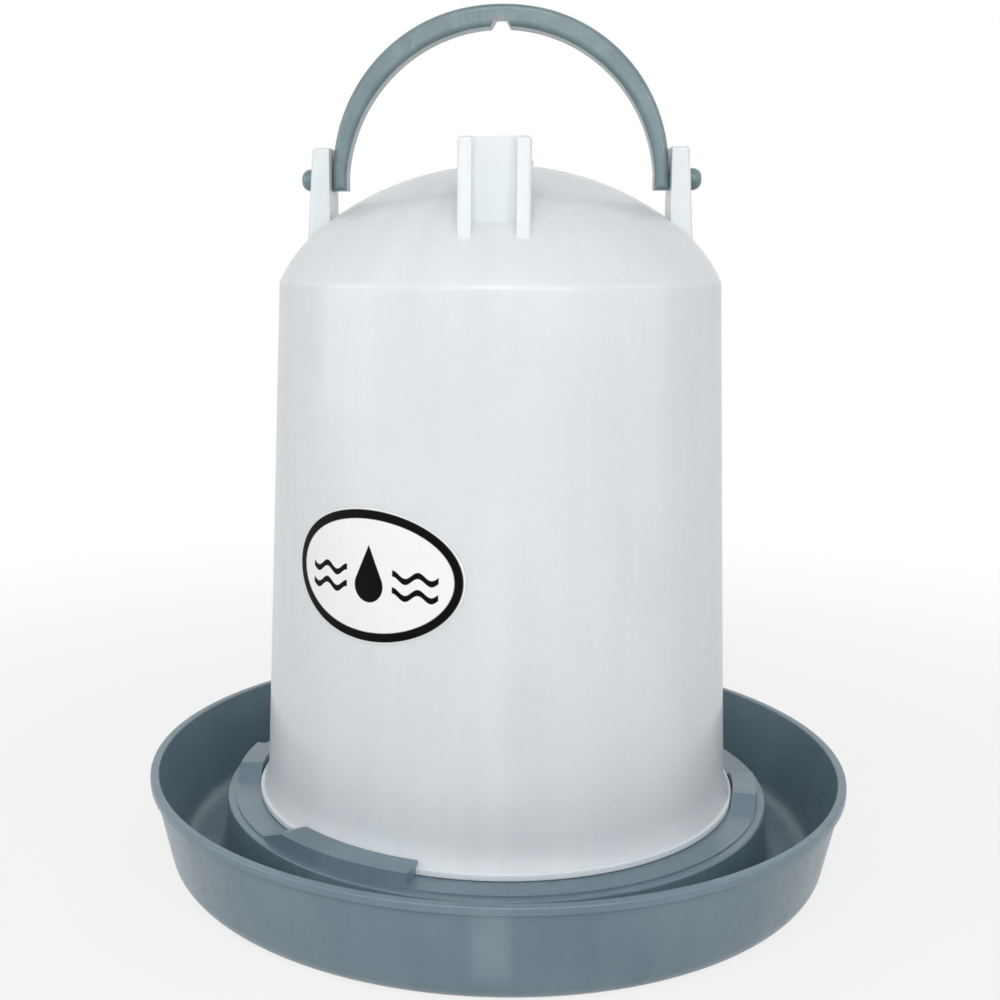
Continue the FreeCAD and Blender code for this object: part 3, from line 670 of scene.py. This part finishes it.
# ---------------------------------------------------------------- sub-assemblies
@dataclass
class Drinker:
    """What every sub-assembly of the drinker shares.

    Attributes:
        frame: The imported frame.
        pieces: Names of the pieces that the sub-assembly has dressed or made.
    """

    frame: dict[str, Any]
    pieces: list[str] = field(default_factory=list)

    def dress(self, moulding: Moulding, finish: MouldedFinish) -> None:
        """Give a moulded body its finish.

        Args:
            moulding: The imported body.
            finish: The plastic it is moulded from.
        """
        data = self.frame["nodes"][moulding.value].data
        data.materials.clear()
        data.materials.append(finish.material())
        self.pieces.append(moulding.value)

    def report(self) -> None:
        """Log each piece with its size in millimetres."""
        for name in self.pieces:
            piece = bpy.data.objects[name]
            corners = np.array([corner[:] for corner in piece.bound_box])
            size = (corners.max(0) - corners.min(0)) / MM
            LOG.info("%s: %s, %.0f x %.0f x %.0f mm", type(self).__name__, name, *size)


@dataclass
class Tray(Drinker):
    """The drinking tray, one moulding."""

    def build(self) -> None:
        """Dress the tray."""
        self.dress(Moulding.TRAY, TRAY_PLASTIC)


@dataclass
class Fount(Drinker):
    """The reservoir, one moulding, with the label on its wall.

    Attributes:
        foot_radius_mm: Outside of the wall, where its straight part starts.
        foot_height_mm: Height of that place.
        shoulder_radius_mm: Outside of the wall, where it would meet the dome.
        shoulder_height_mm: Height of that place.
        label_middle_mm: Height of the label's middle.
        label_half_width_mm: Half of the label's width, straight across.
        label_half_height_mm: Half of its height.
        label_azimuth: Degrees from the front, towards +X.
        label_thickness_mm: Thickness of the film.
        label_back_share: How far its back stands off the wall, as a share of that thickness.
        face_shares: Innermost and outermost ring of the face, as shares of the oval's half-axes.
        back_shares: Outermost and innermost ring of the back.
        edge_inset: How far inside the oval the rounding would start at angle 0, as a share of the half-axes.
        edge_start: Angle at which it does start outwards, in radians.
        edge_foot_share: How far the edge's last ring stands off the wall, as a share of the thickness.
        edge_turn: Angle that it ends at, in radians: about a quarter turn.
        face_rings: Rings of points on its face, and as many on its back.
        edge_rings: Rings that round over its edge.
        ring_points: Points in each ring.
    """

    foot_radius_mm: float = 96.25
    foot_height_mm: float = 41.9
    shoulder_radius_mm: float = 88.2
    shoulder_height_mm: float = 240.2
    label_middle_mm: float = 136.3
    label_half_width_mm: float = 36.8
    label_half_height_mm: float = 24.8
    label_azimuth: float = -28.5
    label_thickness_mm: float = 0.25
    label_back_share: float = 0.08
    face_shares: Span = (0.02, 0.985)
    back_shares: Span = (0.999, 0.02)
    edge_inset: float = 0.012
    edge_start: float = 0.2
    edge_foot_share: float = 0.2
    edge_turn: float = 1.57
    face_rings: int = 40
    edge_rings: int = 6
    ring_points: int = 192

    def build(self) -> None:
        """Dress the reservoir and lay the label on it."""
        self.dress(Moulding.FOUNT, FOUNT_PLASTIC)
        label = self.label()
        label.data.materials.append(PrintedFilm().material())
        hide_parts("label")
        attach(label, "fount")
        self.pieces.append(label.name)

    def wall_radius(self, height_mm: np.ndarray) -> np.ndarray:
        """Outside radius of the wall: it falls evenly from the foot to the shoulder."""
        share = (height_mm - self.foot_height_mm) / (self.shoulder_height_mm - self.foot_height_mm)
        return self.foot_radius_mm + (self.shoulder_radius_mm - self.foot_radius_mm) * share

    def label(self) -> bpy.types.Object:
        """The oval film: a disc of rings drawn on the wall's cone.

        Each point has a share of the oval's half-axes and an angle round its middle. It lies straight behind
        that place of the oval, on the cone grown by the film's thickness. The last rings round over the edge
        and come back on the wall, so the film is closed.

        Returns:
            The label's object.
        """
        outwards = np.linspace(self.edge_start, self.edge_turn, self.edge_rings)
        downwards = np.linspace(0.0, self.edge_turn, self.edge_rings)
        over = 1.0 - self.edge_inset * (1 - np.sin(outwards))
        down = self.edge_foot_share + (1.0 - self.edge_foot_share) * np.cos(downwards)
        face = np.linspace(*self.face_shares, self.face_rings)
        back = np.linspace(*self.back_shares, self.face_rings)
        shares = np.concatenate([face, over, back])
        lifts = np.concatenate([np.ones(self.face_rings), down,
                                np.full(self.face_rings, self.label_back_share)])
        angles = np.linspace(0.0, 2.0 * np.pi, self.ring_points, endpoint=False)
        share, angle = np.meshgrid(shares, angles, indexing="ij")
        lift = np.broadcast_to(lifts[:, None], share.shape) * self.label_thickness_mm
        across = self.label_half_width_mm * share * np.cos(angle)
        height = self.label_middle_mm + self.label_half_height_mm * share * np.sin(angle)
        points = self.on_wall(across, height, lift)
        radius = self.wall_radius(height)
        spread = np.stack([radius * np.arcsin(across / radius), height - self.label_middle_mm], axis=-1)
        half = 0.5
        flat = half + spread / FILM_SPAN_MM
        middle = np.array(self.label_middle_mm)
        start = self.on_wall(np.array(0.0), middle, np.array(self.label_thickness_mm))
        end = self.on_wall(np.array(0.0), middle, np.array(self.label_back_share * self.label_thickness_mm))
        return Surface("label_print", points, start, end, flat, ((half, half), (half, half))).make()

    def on_wall(self, across: np.ndarray, height: np.ndarray, lift: np.ndarray) -> np.ndarray:
        """Points over the wall, turned to the label's azimuth.

        Args:
            across: Millimetres sideways, straight across.
            height: Millimetres above the floor.
            lift: Millimetres outside the wall.

        Returns:
            The points, in metres.
        """
        radius = self.wall_radius(height) + lift
        ahead = np.sqrt(radius**2 - across**2)
        turn = math.radians(self.label_azimuth)
        return np.stack([across * math.cos(turn) + ahead * math.sin(turn),
                         across * math.sin(turn) - ahead * math.cos(turn), height], axis=-1) * MM


@dataclass
class Handle(Drinker):
    """The carrying handle, one moulding with its two headed pins."""

    def build(self) -> None:
        """Dress the handle."""
        self.dress(Moulding.HANDLE, HANDLE_PLASTIC)


# ---------------------------------------------------------------- studio
@dataclass(frozen=True)
class Softbox:
    """A rectangular area lamp aimed at a point.

    Attributes:
        name: Lamp name.
        place: Where it hangs, in metres.
        target: What it faces.
        width: Width in metres.
        height: Height in metres.
        watts: Power.
        mirrored: Whether glossy skins show it; a fill from behind would glare along the dome's edge.
    """

    name: str
    place: tuple[float, float, float]
    target: tuple[float, float, float]
    width: float
    height: float
    watts: float
    mirrored: bool = True

    def hang(self) -> None:
        """Put the lamp into the scene, out of the camera's sight."""
        lamp = bpy.data.lights.new(self.name, "AREA")
        lamp.shape = "RECTANGLE"
        lamp.size = self.width
        lamp.size_y = self.height
        lamp.energy = self.watts
        made = bpy.data.objects.new(self.name, lamp)
        made.location = self.place
        made.rotation_euler = (Vector(self.target) - Vector(self.place)).to_track_quat("-Z", "Y").to_euler()
        made.visible_camera = False
        made.visible_glossy = self.mirrored
        bpy.context.scene.collection.objects.link(made)


@dataclass(frozen=True)
class FloorCard:
    """A white wedge of card on the floor, which only reflections show: it draws the tray's pale stripe.

    Attributes:
        name: Object name.
        near: Middle of its narrow end, in metres.
        far: Middle of its wide end.
        near_width: Width of the narrow end, in metres.
        far_width: Width of the wide end.
        strength: Brightness, where 1 is white.
        lift: Height above the floor, in metres.
    """

    name: str
    near: tuple[float, float]
    far: tuple[float, float]
    near_width: float
    far_width: float
    strength: float
    lift: float = 0.0005

    def lay(self) -> None:
        """Put the card a little above the floor, out of the camera's sight."""
        made = blank_material(f"{self.name}_white")
        white = add_node(made.node_tree, "ShaderNodeEmission", {"Color": WHITE, "Strength": self.strength})
        add_node(made.node_tree, "ShaderNodeOutputMaterial", {"Surface": white.outputs[0]})
        (near_x, near_y), (far_x, far_y) = self.near, self.far
        near_half, far_half = self.near_width / 2.0, self.far_width / 2.0
        corners = [(near_x - near_half, near_y, self.lift), (far_x - far_half, far_y, self.lift),
                   (far_x + far_half, far_y, self.lift), (near_x + near_half, near_y, self.lift)]
        mesh = bpy.data.meshes.new(self.name)
        mesh.from_pydata(corners, [], [(0, 1, 2, 3)])
        mesh.materials.append(made)
        card = bpy.data.objects.new(self.name, mesh)
        card.visible_camera = False
        card.visible_diffuse = False
        card.visible_shadow = False
        bpy.context.scene.collection.objects.link(card)


@dataclass
class Studio:
    """Pale floor, even room light, soft lamps and the camera.

    Attributes:
        room_light: Strength of the room's light on surfaces.
        paper_white: How much of the paper under the object shows as plain white.
        fade_m: From where to where, from the axis, that share rises to all of it.
        paper_greys: Colour of the paper in its lowest and its highest fibres.
        fibre_mm: Width of a fibre.
        floor_half_m: Half of the floor's width.
        lamps: The soft lamps.
        card: The card that the tray's front mirrors.
        camera_place: Where the camera stands, in metres.
        camera_pitch: Degrees from looking straight down.
        camera_yaw: Degrees from looking along +Y, towards -X.
        lens_mm: Focal length.
        sensor_mm: Width of the sensor.
        lens_shift: Sideways shift, as a share of the sensor's width.
        clip_m: Nearest and farthest distance that the camera sees.
    """

    room_light: float = 0.30
    paper_white: float = 0.80
    fade_m: Span = (0.2, 0.7)
    paper_greys: tuple[str, str] = ("#cfcfcf", "#d4d4d4")
    fibre_mm: float = 4.0
    floor_half_m: float = 12.0
    lamps: tuple[Softbox, ...] = (
        Softbox("front_high", (0.0, -1.40, 1.30), (0.0, 0.0, 0.15), 0.8, 0.8, 9.8),
        Softbox("near_top", (0.0, -0.80, 0.45), (0.0, 0.0, 0.05), 0.25, 0.25, 0.55),
        Softbox("near_left", (-0.42, -0.75, 0.42), (0.0, 0.0, 0.06), 0.3, 0.3, 0.80),
        Softbox("near_right", (0.42, -0.75, 0.42), (0.0, 0.0, 0.06), 0.3, 0.3, 1.40),
        Softbox("side_left", (-1.40, -0.30, 0.50), (0.0, 0.0, 0.17), 0.8, 0.8, 4.6),
        Softbox("side_right", (1.40, -0.30, 0.50), (0.0, 0.0, 0.17), 0.8, 0.8, 2.2),
        Softbox("back", (0.25, 1.50, 0.90), (0.0, 0.0, 0.15), 1.0, 1.0, 4.0, mirrored=False),
    )
    card: FloorCard = FloorCard("floor_card", (0.004, -0.147), (-0.066, -1.5), 0.016, 0.27, 2.3)
    camera_place: tuple[float, float, float] = (0.01536, -0.5752, 0.2559)
    camera_pitch: float = 79.56
    camera_yaw: float = 4.4
    lens_mm: float = 50.567
    sensor_mm: float = 36.0
    lens_shift: float = 0.0724
    clip_m: Span = (0.02, 60.0)

    def build(self) -> None:
        """Set up the whole studio."""
        self.floor()
        self.room()
        self.card.lay()
        for lamp in self.lamps:
            lamp.hang()
        self.camera()
        bpy.context.scene.view_settings.view_transform = "Standard"

    def seen(self, tree: Tree) -> Socket:
        """Mark the rays that show the background: straight from the camera, mirrored, or through glass.

        Args:
            tree: The node tree.

        Returns:
            1 for such a ray, 0 for any other.
        """
        path = add_node(tree, "ShaderNodeLightPath").outputs
        mirrored = add_math(tree, "MAXIMUM", path["Is Camera Ray"], path["Is Glossy Ray"])
        return add_math(tree, "MAXIMUM", mirrored, path["Is Transmission Ray"])

    def floor(self) -> None:
        """White studio paper: it keeps a soft shadow round the object and runs out to plain white."""
        made = blank_material("paper_sweep_white")
        tree = made.node_tree
        place = add_node(tree, "ShaderNodeTexCoord").outputs["Object"]
        fibres = add_noise(tree, place, per_metre(self.fibre_mm), detail=3.0)
        low, high = self.paper_greys
        tone = add_blend(tree, fibres, linear(low), linear(high))
        paper = add_node(tree, "ShaderNodeBsdfDiffuse", {"Color": tone})
        white = add_node(tree, "ShaderNodeEmission", {"Color": WHITE, "Strength": 1.0})
        away = add_vector_math(tree, "LENGTH", place)
        fade = add_range(tree, away, self.fade_m, (self.paper_white, 1.0), interpolation_type="SMOOTHSTEP")
        share = add_math(tree, "MULTIPLY", self.seen(tree), fade)
        both = add_node(tree, "ShaderNodeMixShader", (share, paper.outputs[0], white.outputs[0]))
        add_node(tree, "ShaderNodeOutputMaterial", {"Surface": both.outputs[0]})
        half = self.floor_half_m
        mesh = bpy.data.meshes.new("floor")
        mesh.from_pydata([(-half, -half, 0.0), (half, -half, 0.0), (half, half, 0.0), (-half, half, 0.0)], [],
                         [(0, 1, 2, 3)])
        mesh.materials.append(made)
        plane = bpy.data.objects.new("floor", mesh)
        bpy.context.scene.collection.objects.link(plane)

    def room(self) -> None:
        """Even pale room light; rays that show the background see white."""
        world = bpy.data.worlds.new("room")
        world.use_nodes = True
        tree = world.node_tree
        tree.nodes.clear()
        strength = add_range(tree, self.seen(tree), (0.0, 1.0), (self.room_light, 1.0))
        sky = add_node(tree, "ShaderNodeBackground", {"Color": WHITE, "Strength": strength})
        add_node(tree, "ShaderNodeOutputWorld", {"Surface": sky.outputs[0]})
        bpy.context.scene.world = world

    def camera(self) -> None:
        """A camera just above the shoulder's height and right of the axis, turned a little left and down."""
        lens = bpy.data.cameras.new("camera")
        lens.sensor_width = self.sensor_mm
        lens.lens = self.lens_mm
        lens.shift_x = self.lens_shift
        lens.clip_start, lens.clip_end = self.clip_m
        made = bpy.data.objects.new("camera", lens)
        made.location = self.camera_place
        made.rotation_euler = Euler((math.radians(self.camera_pitch), 0.0, math.radians(self.camera_yaw)))
        bpy.context.scene.collection.objects.link(made)
        bpy.context.scene.camera = made


def main() -> None:
    logging.basicConfig(level=logging.INFO, format="%(message)s")
    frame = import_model()
    for part in (Tray(frame), Fount(frame), Handle(frame)):
        part.build()
        part.report()
    Studio().build()
    bpy.context.view_layer.update()


if __name__ == "__main__":
    main()
